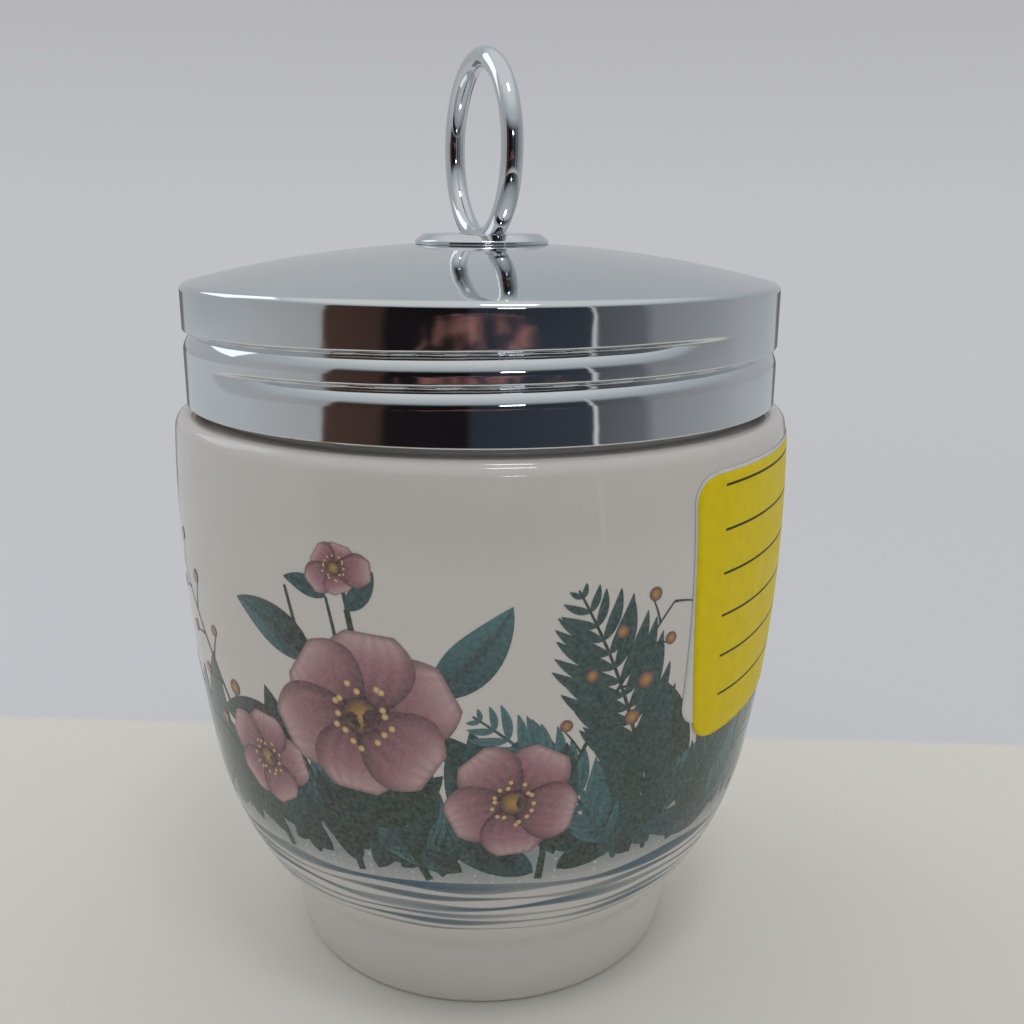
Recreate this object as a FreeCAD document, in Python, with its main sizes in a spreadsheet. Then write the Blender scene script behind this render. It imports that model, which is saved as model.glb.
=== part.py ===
import FreeCAD, Part
import math
import os
import re
import Sketcher
from FreeCAD import Placement, Rotation, Vector

# Porcelain egg coddler: a glazed cup with a screw neck, and a plated screw cap with a lifting ring.
# Millimetres, +Z up. The origin is the middle of the foot's underside, on the table. The front is -Y,
# and the thread and the ring are turned as they are seen from there.

doc = FreeCAD.newDocument("egg_coddler")

# Driving dimensions, in millimetres, degrees or turns
sizes = {
    "belly_radius": (35.67, "widest outside radius of the cup"),
    "belly_height": (55.6, "height of that widest place"),
    "side_arc": (178.0, "radius of the long curve of the cup's side"),
    "bowl_arc": (37.7, "radius of the curve that turns under to the foot"),
    "bowl_height": (26.4, "height where the two curves meet"),
    "waist_height": (8.7, "height where the bowl meets the foot"),
    "waist_round": (0.8, "hollow rounding between bowl and foot"),
    "foot_taper": (1.74, "how much narrower the foot is on the table than where it meets the bowl"),
    "foot_round": (1.0, "rounding of the foot's lower edges"),
    "foot_rim": (3.6, "width of the ring that stands on the table"),
    "foot_recess": (3.2, "depth of the hollow under the foot"),
    "cup_wall": (3.8, "wall of the bowl"),
    "cup_floor": (4.6, "floor of the cup above the hollow under the foot"),
    "floor_round": (5.0, "rounding where the floor meets the bowl"),
    "shoulder_height": (66.4, "height of the ledge outside the neck"),
    "shoulder_round": (1.8, "rounding of the ledge's outer edge"),
    "neck_wall": (3.5, "wall of the neck"),
    "neck_depth": (12.5, "straight part of the mouth, below the lip"),
    "neck_flare": (9.0, "height over which the mouth widens into the bowl"),
    "mouth_round": (18.0, "rounding at both ends of that widening"),
    "lip_round": (1.3, "rounding of the cup's upper edge"),
    "lip_gap": (0.35, "gap between that edge and the lid's underside"),
    "ledge_width": (1.44, "how much narrower the lid is than the cup under it, on the radius"),
    "lid_sheet": (0.7, "sheet metal of the lid"),
    "lid_skirt": (13.0, "height of the lid's side"),
    "lid_lift": (0.9, "gap between the lid's edge and the ledge"),
    "lid_corner": (0.9, "rounding of the lid's upper edge"),
    "dome_arc": (135.0, "radius of the lid's low dome"),
    "seat_radius": (8.1, "radius of the flat in the middle of the dome"),
    "thread_pitch": (3.0, "rise of the screw thread in one turn"),
    "thread_depth": (0.95, "depth of the groove rolled into the lid"),
    "thread_gap": (0.35, "radial gap between lid and neck at the thread"),
    "thread_lean": (0.12, "how much nearer the neck's ridge is to the lid's turn below it"),
    "thread_height": (4.3, "start of the lid's groove above its edge"),
    "thread_turns": (1.26, "length of the lid's groove, in turns"),
    "thread_start": (220.0, "direction of the groove's lower end, degrees from +X"),
    "groove_mouth": (2.3, "width of the groove at the lid's surface"),
    "groove_floor": (0.9, "width of the groove at its bottom"),
    "neck_turns": (1.6, "length of the neck's ridge, in turns"),
    "neck_lead": (0.2, "turns by which the neck's ridge starts before the lid's groove"),
    "ridge_base": (1.3, "width of the neck's ridge at the neck"),
    "ridge_crest": (0.6, "width of the neck's ridge at its top"),
    "ring_radius": (9.65, "radius of the lifting ring to the middle of its wire"),
    "ring_wire": (2.4, "thickness of the ring's wire"),
    "ring_sink": (1.7, "depth of wire that the ring's flat foot takes off"),
    "ring_turn": (19.5, "direction that the ring faces, degrees from +X"),
    "shank_radius": (1.6, "radius of the ring's shank"),
    "shank_gap": (0.08, "gap round the shank in each hole"),
    "collar_radius": (7.7, "radius of the collar under the ring"),
    "collar_height": (1.2, "thickness of the collar"),
    "collar_round": (0.45, "rounding of the collar's edge"),
    "washer_radius": (6.0, "radius of the washer inside the lid"),
    "washer_height": (0.8, "thickness of that washer"),
    "washer_gap": (0.04, "gap on each face of that washer"),
    "head_radius": (3.2, "radius of the shank's riveted head"),
    "head_height": (1.1, "height of the riveted head"),
    "label_width": (40.0, "width of the paper label, straight across"),
    "label_height": (29.4, "height of the paper label"),
    "label_corner": (2.9, "rounding of the label's corners"),
    "label_paper": (0.15, "thickness of the label"),
    "label_glue": (0.04, "gap between the label and the glaze"),
    "label_middle": (49.55, "height of the label's middle"),
    "label_turn": (-20.4, "direction that the label faces, degrees from +X"),
    "label_tilt": (1.3, "tilt of the label in its own plane, degrees"),
}

# What follows from them. Each line may use the lines above it.
worked = {
    "side_x": "belly_radius - side_arc",
    "meet_x": "side_x + sqrt(side_arc ^ 2 - (belly_height - bowl_height) ^ 2)",
    "bowl_x": "meet_x + (side_x - meet_x) * bowl_arc / side_arc",
    "bowl_z": "bowl_height + (belly_height - bowl_height) * bowl_arc / side_arc",
    "waist_x": "bowl_x + sqrt(bowl_arc ^ 2 - (bowl_z - waist_height) ^ 2)",
    "shoulder_x": "side_x + sqrt(side_arc ^ 2 - (shoulder_height - belly_height) ^ 2)",
    "foot_radius": "waist_x - foot_taper",
    "recess_x": "foot_radius - foot_rim",
    "floor_z": "foot_recess + cup_floor",
    "floor_x": "bowl_x + sqrt((bowl_arc - cup_wall) ^ 2 - (bowl_z - floor_z) ^ 2)",
    "inner_x": "side_x + (meet_x - side_x) * (1 - cup_wall / side_arc)",
    "inner_z": "belly_height - (belly_height - bowl_height) * (1 - cup_wall / side_arc)",
    "lid_radius": "shoulder_x - ledge_width",
    "lid_edge": "shoulder_height + lid_lift",
    "lid_rim": "lid_edge + lid_skirt",
    "lid_bore": "lid_radius - lid_sheet",
    "dome_z": "lid_rim - sqrt(dome_arc ^ 2 - lid_radius ^ 2)",
    "seat_z": "dome_z + sqrt(dome_arc ^ 2 - seat_radius ^ 2)",
    "under_seat": "seat_z - lid_sheet",
    "under_x": "sqrt((dome_arc - lid_sheet) ^ 2 - (under_seat - dome_z) ^ 2)",
    "under_rim": "dome_z + sqrt((dome_arc - lid_sheet) ^ 2 - lid_bore ^ 2)",
    "neck_radius": "lid_bore - thread_depth - thread_gap",
    "ridge_radius": "lid_bore - thread_gap",
    "lip_z": "dome_z + sqrt((dome_arc - lid_sheet) ^ 2 - neck_radius ^ 2) - lip_gap",
    "mouth_x": "neck_radius - neck_wall",
    "mouth_z": "lip_z - neck_depth",
    "flare_z": "mouth_z - neck_flare",
    "flare_x": "side_x + sqrt((side_arc - cup_wall) ^ 2 - (flare_z - belly_height) ^ 2)",
    "groove_z": "lid_edge + thread_height",
    "ridge_z": "groove_z + (0.5 - neck_lead) * thread_pitch - thread_lean",
    "fold": "lid_sheet / 4",
    "hole_x": "shank_radius + shank_gap",
    "collar_z": "seat_z + collar_height",
    "ring_z": "collar_z + ring_radius + ring_wire / 2 - ring_sink",
    "washer_z": "under_seat - washer_gap",
    "washer_low": "washer_z - washer_height",
    "head_z": "washer_low - washer_gap",
    "head_low": "head_z - head_height",
    "head_middle": "head_z + (head_radius ^ 2 - head_height ^ 2) / (2 * head_height)",
    "bite": "(ring_wire - ring_sink) / 2",
    "label_side": "side_arc + label_glue",
    "label_cover": "label_side + label_paper",
    "skin_low": "label_middle - label_height",
    "skin_high": "label_middle + label_height",
    "half_width": "label_width / 2",
    "half_height": "label_height / 2",
    "inner_width": "half_width - label_corner",
    "inner_height": "half_height - label_corner",
}


def bound(formula):
    """The formula with each name written as the document's own cell or property."""

    def address(match):
        name = match.group()
        if name in sizes:
            return f"Dims.{name}"
        return f"Worked.{name}" if name in worked else name

    return re.sub(r"[a-z_]+", address, formula)


dims = doc.addObject("Spreadsheet::Sheet", "Dims")
for line, (name, (value, note)) in enumerate(sizes.items(), start=1):
    dims.set(f"A{line}", note)
    dims.set(f"B{line}", str(value))
    dims.setAlias(f"B{line}", name)
doc.recompute()
results = doc.addObject("App::VarSet", "Worked")
for name, formula in worked.items():
    results.addProperty("App::PropertyFloat", name)
    results.setExpression(name, bound(formula))
doc.recompute()


def number(formula):
    """The value of a formula now."""
    return float(dims.evalExpression(bound(formula)))


# Sketch helpers
def start_body(label):
    body = doc.addObject("PartDesign::Body", label)
    body.Label = label
    return body


def start_sketch(body, name, plane="XZ_Plane"):
    """A sketch on one of the body's own origin planes."""
    origin_plane = next(f for f in body.Origin.OriginFeatures if f.Role == plane)
    sketch = body.newObject("Sketcher::SketchObject", name)
    sketch.AttachmentSupport = [(origin_plane, "")]
    sketch.MapMode = "FlatFace"
    return sketch


def pin(sketch, shape, end, formulas):
    """Ties one point of a sketched shape to the origin, across and up. A formula that starts with ~ is free."""
    for formula, kind, axis in zip(formulas, ("DistanceX", "DistanceY"), (-2, -1)):
        if formula.startswith("~"):
            continue
        if formula == "0":
            sketch.addConstraint(Sketcher.Constraint("PointOnObject", shape, end, axis))
            continue
        value = number(formula)
        places = (-1, 1, shape, end) if value >= 0 else (shape, end, -1, 1)
        made = sketch.addConstraint(Sketcher.Constraint(kind, *places, abs(value)))
        sign = "" if value >= 0 else "-"
        sketch.setExpression(f"Constraints[{made}]", f"{sign}({bound(formula)})")


def draw_outline(sketch, corners, arcs=None):
    """A closed outline through the corners. arcs gives the centre of each curved side, by its number."""
    arcs = arcs or {}
    places = [Vector(number(across.lstrip("~")), number(up.lstrip("~")), 0) for across, up in corners]
    first_end = []
    for side, here in enumerate(places):
        there = places[(side + 1) % len(places)]
        if side not in arcs:
            sketch.addGeometry(Part.LineSegment(here, there), False)
            first_end.append(1)
            continue
        middle = Vector(number(arcs[side][0]), number(arcs[side][1]), 0)
        begin, finish = (math.atan2(end.y - middle.y, end.x - middle.x) for end in (here, there))
        leftward = (finish - begin) % (2 * math.pi) < math.pi
        circle = Part.Circle(middle, Vector(0, 0, 1), (here - middle).Length)
        turn = (begin, finish) if leftward else (finish, begin)
        sketch.addGeometry(Part.ArcOfCircle(circle, *turn), False)
        first_end.append(1 if leftward else 2)
    for side, end in enumerate(first_end):
        after = (side + 1) % len(places)
        sketch.addConstraint(Sketcher.Constraint("Coincident", side, 3 - end, after, first_end[after]))
        pin(sketch, side, end, corners[side])
    for side, centre in arcs.items():
        pin(sketch, side, 3, centre)


def revolve(body, name, corners, arcs=None):
    """A full turn of an outline about the body's upright axis."""
    outline = start_sketch(body, f"{name}_outline")
    draw_outline(outline, corners, arcs)
    turned = body.newObject("PartDesign::Revolution", name)
    turned.Profile = outline
    turned.ReferenceAxis = (outline, ["V_Axis"])
    turned.Angle = 360
    doc.recompute()
    return turned


def round_edges(body, name, size, rings):
    """Rounds the circular edges of the body's last feature that lie at the given radii and heights."""
    base = body.Tip
    picked = []
    for across, up in rings:
        place = Vector(number(across), 0, number(up))
        near = [
            index
            for index, edge in enumerate(base.Shape.Edges, start=1)
            if isinstance(edge.Curve, Part.Circle)
            and abs(edge.Curve.Axis.z) > 0.99
            and abs(edge.Curve.Radius - place.x) < 0.01
            and abs(edge.Curve.Center.z - place.z) < 0.01
        ]
        if not near:
            raise RuntimeError(f"{name}: no edge at radius {place.x:.2f}, height {place.z:.2f}")
        picked.append(f"Edge{near[0]}")
    rounded = body.newObject("PartDesign::Fillet", name)
    rounded.Base = (base, picked)
    rounded.setExpression("Radius", bound(size))
    doc.recompute()


def wind(body, kind, name, turns, corners):
    """Winds a small profile up the upright axis as a right-handed thread of the common pitch."""
    outline = start_sketch(body, f"{name}_outline")
    draw_outline(outline, corners)
    before = body.Shape.Volume
    thread = body.newObject(f"PartDesign::{kind}Helix", name)
    thread.Profile = outline
    thread.ReferenceAxis = (outline, ["V_Axis"])
    thread.Mode = "pitch-turns-angle"
    thread.setExpression("Pitch", bound("thread_pitch"))
    thread.setExpression("Turns", bound(turns))
    doc.recompute()
    change = body.Shape.Volume - before
    if (change > 0) != (kind == "Additive"):
        raise RuntimeError(f"{name} changed the volume by {change:.2f}")


def porcelain_cup():
    """Foot, bowl, ledge, screw neck and mouth, all one glazed piece."""
    body = start_body("porcelain_cup")
    revolve(
        body,
        "cup_turned",
        [
            ("recess_x", "0"),
            ("foot_radius", "0"),
            ("~waist_x", "waist_height"),
            ("meet_x", "bowl_height"),
            ("~shoulder_x", "shoulder_height"),
            ("neck_radius", "shoulder_height"),
            ("neck_radius", "lip_z"),
            ("mouth_x", "lip_z"),
            ("mouth_x", "mouth_z"),
            ("~flare_x", "flare_z"),
            ("inner_x", "inner_z"),
            ("~floor_x", "floor_z"),
            ("0", "floor_z"),
            ("0", "foot_recess"),
            ("recess_x", "foot_recess"),
        ],
        {
            2: ("bowl_x", "bowl_z"),
            3: ("side_x", "belly_height"),
            9: ("side_x", "belly_height"),
            10: ("bowl_x", "bowl_z"),
        },
    )
    round_edges(body, "foot_edges", "foot_round", [("foot_radius", "0"), ("recess_x", "0")])
    round_edges(body, "waist", "waist_round", [("waist_x", "waist_height")])
    round_edges(body, "ledge_edge", "shoulder_round", [("shoulder_x", "shoulder_height")])
    round_edges(body, "lip_edges", "lip_round", [("neck_radius", "lip_z"), ("mouth_x", "lip_z")])
    round_edges(body, "mouth_curves", "mouth_round", [("mouth_x", "mouth_z"), ("flare_x", "flare_z")])
    round_edges(body, "floor_curve", "floor_round", [("floor_x", "floor_z")])
    wind(
        body,
        "Additive",
        "neck_thread",
        "neck_turns",
        [
            ("neck_radius - thread_depth / 2", "ridge_z - ridge_base / 2"),
            ("neck_radius", "ridge_z - ridge_base / 2"),
            ("ridge_radius", "ridge_z - ridge_crest / 2"),
            ("ridge_radius", "ridge_z + ridge_crest / 2"),
            ("neck_radius", "ridge_z + ridge_base / 2"),
            ("neck_radius - thread_depth / 2", "ridge_z + ridge_base / 2"),
        ],
    )
    body.setExpression("Placement.Rotation.Angle", bound("thread_start - 360 * neck_lead"))
    return body


def lid_shell():
    """The pressed sheet-metal cap with the thread rolled into its side."""
    body = start_body("lid_shell")
    revolve(
        body,
        "lid_turned",
        [
            ("hole_x", "seat_z"),
            ("seat_radius", "seat_z"),
            ("lid_radius", "~lid_rim"),
            ("lid_radius", "lid_edge"),
            ("lid_bore", "lid_edge"),
            ("lid_bore", "under_rim"),
            ("~under_x", "under_seat"),
            ("hole_x", "under_seat"),
        ],
        {1: ("0", "dome_z"), 5: ("0", "dome_z")},
    )
    round_edges(body, "lid_top_edge", "lid_corner", [("lid_radius", "lid_rim")])
    wind(
        body,
        "Additive",
        "thread_fold",
        "thread_turns",
        [
            ("lid_bore + fold", "groove_z - groove_mouth / 2"),
            ("lid_bore", "groove_z - groove_mouth / 2"),
            ("lid_bore - thread_depth", "groove_z - groove_floor / 2 - fold"),
            ("lid_bore - thread_depth", "groove_z + groove_floor / 2 + fold"),
            ("lid_bore", "groove_z + groove_mouth / 2"),
            ("lid_bore + fold", "groove_z + groove_mouth / 2"),
        ],
    )
    wind(
        body,
        "Subtractive",
        "thread_groove",
        "thread_turns",
        [
            ("lid_radius + fold", "groove_z - groove_mouth / 2"),
            ("lid_radius", "groove_z - groove_mouth / 2"),
            ("lid_radius - thread_depth", "groove_z - groove_floor / 2"),
            ("lid_radius - thread_depth", "groove_z + groove_floor / 2"),
            ("lid_radius", "groove_z + groove_mouth / 2"),
            ("lid_radius + fold", "groove_z + groove_mouth / 2"),
        ],
    )
    body.setExpression("Placement.Rotation.Angle", bound("thread_start"))
    return body


def ring_collar():
    """The round plate between the ring's foot and the dome."""
    body = start_body("ring_collar")
    revolve(
        body,
        "collar_turned",
        [
            ("hole_x", "seat_z"),
            ("collar_radius", "seat_z"),
            ("collar_radius", "collar_z"),
            ("hole_x", "collar_z"),
        ],
    )
    round_edges(body, "collar_edge", "collar_round", [("collar_radius", "collar_z")])
    return body


def backing_washer():
    """The plain washer inside the lid, held by the riveted head."""
    body = start_body("backing_washer")
    revolve(
        body,
        "washer_turned",
        [
            ("hole_x", "washer_low"),
            ("washer_radius", "washer_low"),
            ("washer_radius", "washer_z"),
            ("hole_x", "washer_z"),
        ],
    )
    return body


def lifting_ring():
    """The ring, cut flat where it stands on the collar, with its shank and riveted head in one piece."""
    hoop = doc.addObject("Part::Torus", "hoop")
    hoop.setExpression("Radius1", bound("ring_radius"))
    hoop.setExpression("Radius2", bound("ring_wire / 2"))
    hoop.Placement = Placement(Vector(0, 0, 0), Rotation(Vector(0, 1, 0), 90))
    hoop.setExpression("Placement.Base.z", bound("ring_z"))
    cutter = doc.addObject("Part::Cylinder", "foot_cutter")
    cutter.setExpression("Radius", bound("2 * ring_radius"))
    cutter.setExpression("Height", bound("ring_radius"))
    cutter.setExpression("Placement.Base.z", bound("collar_z - ring_radius"))
    standing = doc.addObject("Part::Cut", "hoop_with_foot")
    standing.Base = hoop
    standing.Tool = cutter
    shank = start_body("ring_shank")
    revolve(
        shank,
        "shank_turned",
        [
            ("0", "collar_z + bite"),
            ("0", "head_low"),
            ("head_radius", "head_z"),
            ("shank_radius", "head_z"),
            ("shank_radius", "collar_z + bite"),
        ],
        {1: ("0", "~head_middle")},
    )
    whole = doc.addObject("Part::Fuse", "lifting_ring")
    whole.Label = "lifting_ring"
    whole.Base = standing
    whole.Tool = shank
    whole.setExpression("Placement.Rotation.Angle", bound("ring_turn"))
    return whole


def price_label():
    """The blank paper label: a thin skin round the cup's side, cut to a rectangle with round corners."""
    skin = start_body("label_skin")
    inside = "side_x + sqrt(label_side ^ 2 - (skin_{0} - belly_height) ^ 2)"
    outside = "side_x + sqrt(label_cover ^ 2 - (skin_{0} - belly_height) ^ 2)"
    revolve(
        skin,
        "skin_turned",
        [
            (inside.format("low"), "skin_low"),
            ("~" + outside.format("low"), "skin_low"),
            (outside.format("high"), "skin_high"),
            ("~" + inside.format("high"), "skin_high"),
        ],
        {1: ("side_x", "belly_height"), 3: ("side_x", "belly_height")},
    )
    card = start_body("label_card")
    outline = start_sketch(card, "card_outline", "YZ_Plane")
    draw_outline(
        outline,
        [
            ("-inner_width", "-half_height"),
            ("inner_width", "-half_height"),
            ("half_width", "-inner_height"),
            ("half_width", "inner_height"),
            ("inner_width", "half_height"),
            ("-inner_width", "half_height"),
            ("-half_width", "inner_height"),
            ("-half_width", "-inner_height"),
        ],
        {
            1: ("~inner_width", "~-inner_height"),
            3: ("~inner_width", "~inner_height"),
            5: ("~-inner_width", "~inner_height"),
            7: ("~-inner_width", "~-inner_height"),
        },
    )
    for corner in (1, 3, 5, 7):
        made = outline.addConstraint(Sketcher.Constraint("Radius", corner, number("label_corner")))
        outline.setExpression(f"Constraints[{made}]", bound("label_corner"))
    pad = card.newObject("PartDesign::Pad", "card_depth")
    pad.Profile = outline
    pad.setExpression("Length", bound("2 * belly_radius"))
    card.Placement = Placement(Vector(0, 0, 0), Rotation(Vector(1, 0, 0), 0))
    card.setExpression("Placement.Base.z", bound("label_middle"))
    card.setExpression("Placement.Rotation.Angle", bound("label_tilt"))
    label = doc.addObject("Part::Common", "price_label")
    label.Label = "price_label"
    label.Base = skin
    label.Tool = card
    label.setExpression("Placement.Rotation.Angle", bound("label_turn"))
    return label


makers = (porcelain_cup, lid_shell, ring_collar, backing_washer, lifting_ring, price_label)
pieces = [make() for make in makers]
doc.recompute()

for thing in doc.Objects:
    if "Invalid" in thing.State or "Error" in thing.State:
        raise RuntimeError(f"{thing.Label} failed: {thing.State}")
for piece in pieces:
    if piece.Shape.isNull() or not piece.Shape.isValid() or len(piece.Shape.Solids) != 1:
        raise RuntimeError(f"{piece.Label} isn't one valid solid")

os.makedirs("parts", exist_ok=True)
for piece in pieces:
    piece.Shape.exportStep(f"parts/{piece.Label}.step")
    box = piece.Shape.BoundBox
    print(
        f"{piece.Label}: {piece.Shape.Volume:.1f} mm3, z {box.ZMin:.2f} to {box.ZMax:.2f}, "
        f"x {box.XMin:.2f} to {box.XMax:.2f}, y {box.YMin:.2f} to {box.YMax:.2f}"
    )
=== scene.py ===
import math
import random

import bmesh
import bpy
from mathutils import Matrix, Vector


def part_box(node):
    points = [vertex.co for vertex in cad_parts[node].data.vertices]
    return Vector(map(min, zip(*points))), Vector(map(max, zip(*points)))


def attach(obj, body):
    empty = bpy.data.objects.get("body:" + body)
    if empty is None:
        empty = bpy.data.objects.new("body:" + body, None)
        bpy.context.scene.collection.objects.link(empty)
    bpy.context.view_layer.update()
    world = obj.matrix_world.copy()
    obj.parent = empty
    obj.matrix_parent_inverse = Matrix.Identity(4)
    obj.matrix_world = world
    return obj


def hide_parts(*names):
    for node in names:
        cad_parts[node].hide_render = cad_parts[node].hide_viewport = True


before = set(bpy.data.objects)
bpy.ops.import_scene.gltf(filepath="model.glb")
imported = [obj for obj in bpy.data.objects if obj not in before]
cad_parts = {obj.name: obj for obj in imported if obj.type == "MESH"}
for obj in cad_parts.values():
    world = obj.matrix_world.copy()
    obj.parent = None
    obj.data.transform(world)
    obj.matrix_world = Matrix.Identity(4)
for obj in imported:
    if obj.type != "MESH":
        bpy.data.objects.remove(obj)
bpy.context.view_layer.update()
mm = 0.001  # shapes are drawn in millimetres and brought to metres at the end
weld = 0.0008  # points of a turned shape that are nearer than this become one

# Where the photograph was taken from: metres and radians, the camera stands in front of the cup
photographer = {
    "distance": 0.12904,
    "height": 0.08781,
    "lookDown": 0.2686,
    "lookRight": 0.0280,
    "roll": -0.0045,
    "lens": 38.155,
    "sensor": 36.0,
    "nearest": 0.005,
}


def placeCamera(view):
    down, right = view["lookDown"], view["lookRight"]
    ahead = Vector((math.sin(right) * math.cos(down), math.cos(right) * math.cos(down), -math.sin(down)))
    across = Vector((math.cos(right), -math.sin(right), 0))
    up = across.cross(ahead)
    turn = Matrix((across, up, -ahead)).transposed() @ Matrix.Rotation(-view["roll"], 3, "Z")
    data = bpy.data.cameras.new("camera")
    data.lens = view["lens"]
    data.sensor_width = view["sensor"]
    data.clip_start = view["nearest"]
    camera = bpy.data.objects.new("camera", data)
    bpy.context.scene.collection.objects.link(camera)
    place = Vector((0, -view["distance"], view["height"]))
    camera.matrix_world = Matrix.Translation(place) @ turn.to_4x4()
    bpy.context.scene.camera = camera


placeCamera(photographer)
bpy.context.scene.view_settings.view_transform = "Standard"
print("camera placed")


# Colours are written as they show on a screen, 0 to 255
def tint(red, green, blue):
    shown = [value / 255 for value in (red, green, blue)]
    light = [((v + 0.055) / 1.055) ** 2.4 if v > 0.04045 else v / 12.92 for v in shown]
    return (*light, 1.0)


def blend(first, second, share):
    return tuple(a + (b - a) * share for a, b in zip(first, second))


def ease(value):
    value = min(1, max(0, value))
    return value * value * (3 - 2 * value)


# Nodes
def addNode(tree, kind, values=None, **settings):
    node = tree.nodes.new(kind)
    for name, value in settings.items():
        setattr(node, name, value)
    for name, value in (values or {}).items():
        if isinstance(value, bpy.types.NodeSocket):
            tree.links.new(value, node.inputs[name])
        else:
            node.inputs[name].default_value = value
    return node


def addMath(tree, operation, *given, **settings):
    node = addNode(tree, "ShaderNodeMath", dict(enumerate(given)), operation=operation, **settings)
    return node.outputs["Value"]


# A value from one range to another, 0 to 1 unless told
def addMap(tree, value, start, full, low=0.0, high=1.0):
    ranges = {"Value": value, "From Min": start, "From Max": full, "To Min": low, "To Max": high}
    return addNode(tree, "ShaderNodeMapRange", ranges).outputs["Result"]


def addMix(tree, share, first, second):
    mixed = addNode(tree, "ShaderNodeMix", {"Factor": share, "A": first, "B": second}, data_type="RGBA")
    return mixed.outputs["Result"]


def addParts(tree, place):
    return addNode(tree, "ShaderNodeSeparateXYZ", {"Vector": place}).outputs


def addPlace(tree, space):
    return addNode(tree, "ShaderNodeTexCoord").outputs[space]


def newMaterial(name, **values):
    material = bpy.data.materials.new(name)
    material.use_nodes = True
    tree = material.node_tree
    shader = tree.nodes["Principled BSDF"]
    for socket, value in values.items():
        shader.inputs[socket.replace("_", " ")].default_value = value
    return material, tree, shader


# A cloudy value between Low and High over a surface, shared by every finish
mottle = {"detail": 4.0, "start": 0.3, "full": 0.7}


def makeMottle():
    group = bpy.data.node_groups.new("mottle", "ShaderNodeTree")
    group.interface.new_socket("Place", in_out="INPUT", socket_type="NodeSocketVector")
    for name in ("Scale", "Low", "High"):
        group.interface.new_socket(name, in_out="INPUT", socket_type="NodeSocketFloat")
    group.interface.new_socket("Value", in_out="OUTPUT", socket_type="NodeSocketFloat")
    given = addNode(group, "NodeGroupInput").outputs
    noise = {"Vector": given["Place"], "Scale": given["Scale"], "Detail": mottle["detail"]}
    cloud = addNode(group, "ShaderNodeTexNoise", noise).outputs["Fac"]
    spread = addMap(group, cloud, mottle["start"], mottle["full"], given["Low"], given["High"])
    addNode(group, "NodeGroupOutput", {"Value": spread})
    return group


mottleGroup = makeMottle()


def addMottle(tree, place, scale, low, high):
    node = addNode(tree, "ShaderNodeGroup", node_tree=mottleGroup)
    tree.links.new(place, node.inputs["Place"])
    for name, value in (("Scale", scale), ("Low", low), ("High", high)):
        node.inputs[name].default_value = value
    return node.outputs["Value"]


def addBump(tree, height, strength, distance):
    bump = addNode(tree, "ShaderNodeBump", {"Height": height, "Strength": strength, "Distance": distance})
    return bump.outputs["Normal"]


# Makes an object of a shape drawn in millimetres, and lets it ride on its body
def finishPiece(name, shape, material, body, nodes=(), sharpAngle=50):
    bmesh.ops.scale(shape, vec=(mm, mm, mm), verts=shape.verts)
    data = bpy.data.meshes.new(name)
    shape.to_mesh(data)
    shape.free()
    data.shade_smooth()
    data.set_sharp_from_angle(angle=math.radians(sharpAngle))
    data.materials.append(material)
    piece = bpy.data.objects.new(name, data)
    bpy.context.scene.collection.objects.link(piece)
    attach(piece, body)
    if nodes:
        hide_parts(*nodes)
    return piece


# Corners (across, up, rounding) become an outline with round corners
def roundOutline(corners, arcSteps=7):
    points = [Vector((across, 0, up)) for across, up, rounding in corners]
    outline = []
    for index, (here, (across, up, rounding)) in enumerate(zip(points, corners)):
        if rounding == 0:
            outline.append(here)
            continue
        before = points[index - 1] - here
        after = points[(index + 1) % len(points)] - here
        reach = rounding / math.tan(before.angle(after) / 2)
        start = here + before.normalized() * min(reach, 0.49 * before.length)
        end = here + after.normalized() * min(reach, 0.49 * after.length)
        for step in range(arcSteps + 1):
            share = step / arcSteps
            outline.append(start.lerp(here, share).lerp(here.lerp(end, share), share))
    return outline


# Turns an outline about the upright axis
def turnOutline(shape, outline, steps, closed=False):
    verts = [shape.verts.new(point) for point in outline]
    edges = [shape.edges.new(pair) for pair in zip(verts, verts[1:])]
    if closed:
        edges.append(shape.edges.new((verts[-1], verts[0])))
    bmesh.ops.spin(
        shape,
        geom=verts + edges,
        cent=(0, 0, 0),
        axis=(0, 0, 1),
        dvec=(0, 0, 0),
        angle=2 * math.pi,
        steps=steps,
        use_merge=True,
    )
    bmesh.ops.remove_doubles(shape, verts=shape.verts, dist=weld)
    bmesh.ops.recalc_face_normals(shape, faces=shape.faces)


def ladder(low, high, count):
    return [low + (high - low) * step / count for step in range(1, count)]


# Cross-sections of threads: depth from 0 to 1 at a share of the thread's width, counted from its upper edge
threadForms = {"mouldedFlank": 3.2, "rolledEdge": 0.24, "rolledBottom": 0.16, "rolledCurve": 1.8}


def mouldedForm(share):
    return ease((0.5 - abs(share - 0.5)) * threadForms["mouldedFlank"])


def rolledForm(share):
    bottom = threadForms["rolledBottom"]
    risen = 1 - max(0, (share - bottom) / (1 - bottom))
    return ease(share / threadForms["rolledEdge"]) * risen ** threadForms["rolledCurve"]


# Depth of a thread at a direction in degrees and a height, 0 to 1
def threadDepth(thread, direction, height):
    deepest = 0
    turn = ((direction - thread["start"]) % 360) / 360
    while turn < thread["turns"]:
        share = 0.5 - (height - thread["height"] - turn * thread["pitch"]) / thread["mouth"]
        ends = min(turn, thread["turns"] - turn) * 360 / thread["fade"]
        if 0 < share < 1:
            deepest = max(deepest, thread["form"](share) * ease(ends))
        turn += 1
    return deepest


# Raises a thread on the wall of a round shape, or presses it in where depth is below zero
def windThread(verts, thread, depth):
    for vert in verts:
        radius = math.hypot(vert.co.x, vert.co.y)
        direction = math.degrees(math.atan2(vert.co.y, vert.co.x))
        vert.co.xy *= (radius + depth * threadDepth(thread, direction, vert.co.z)) / radius


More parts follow.
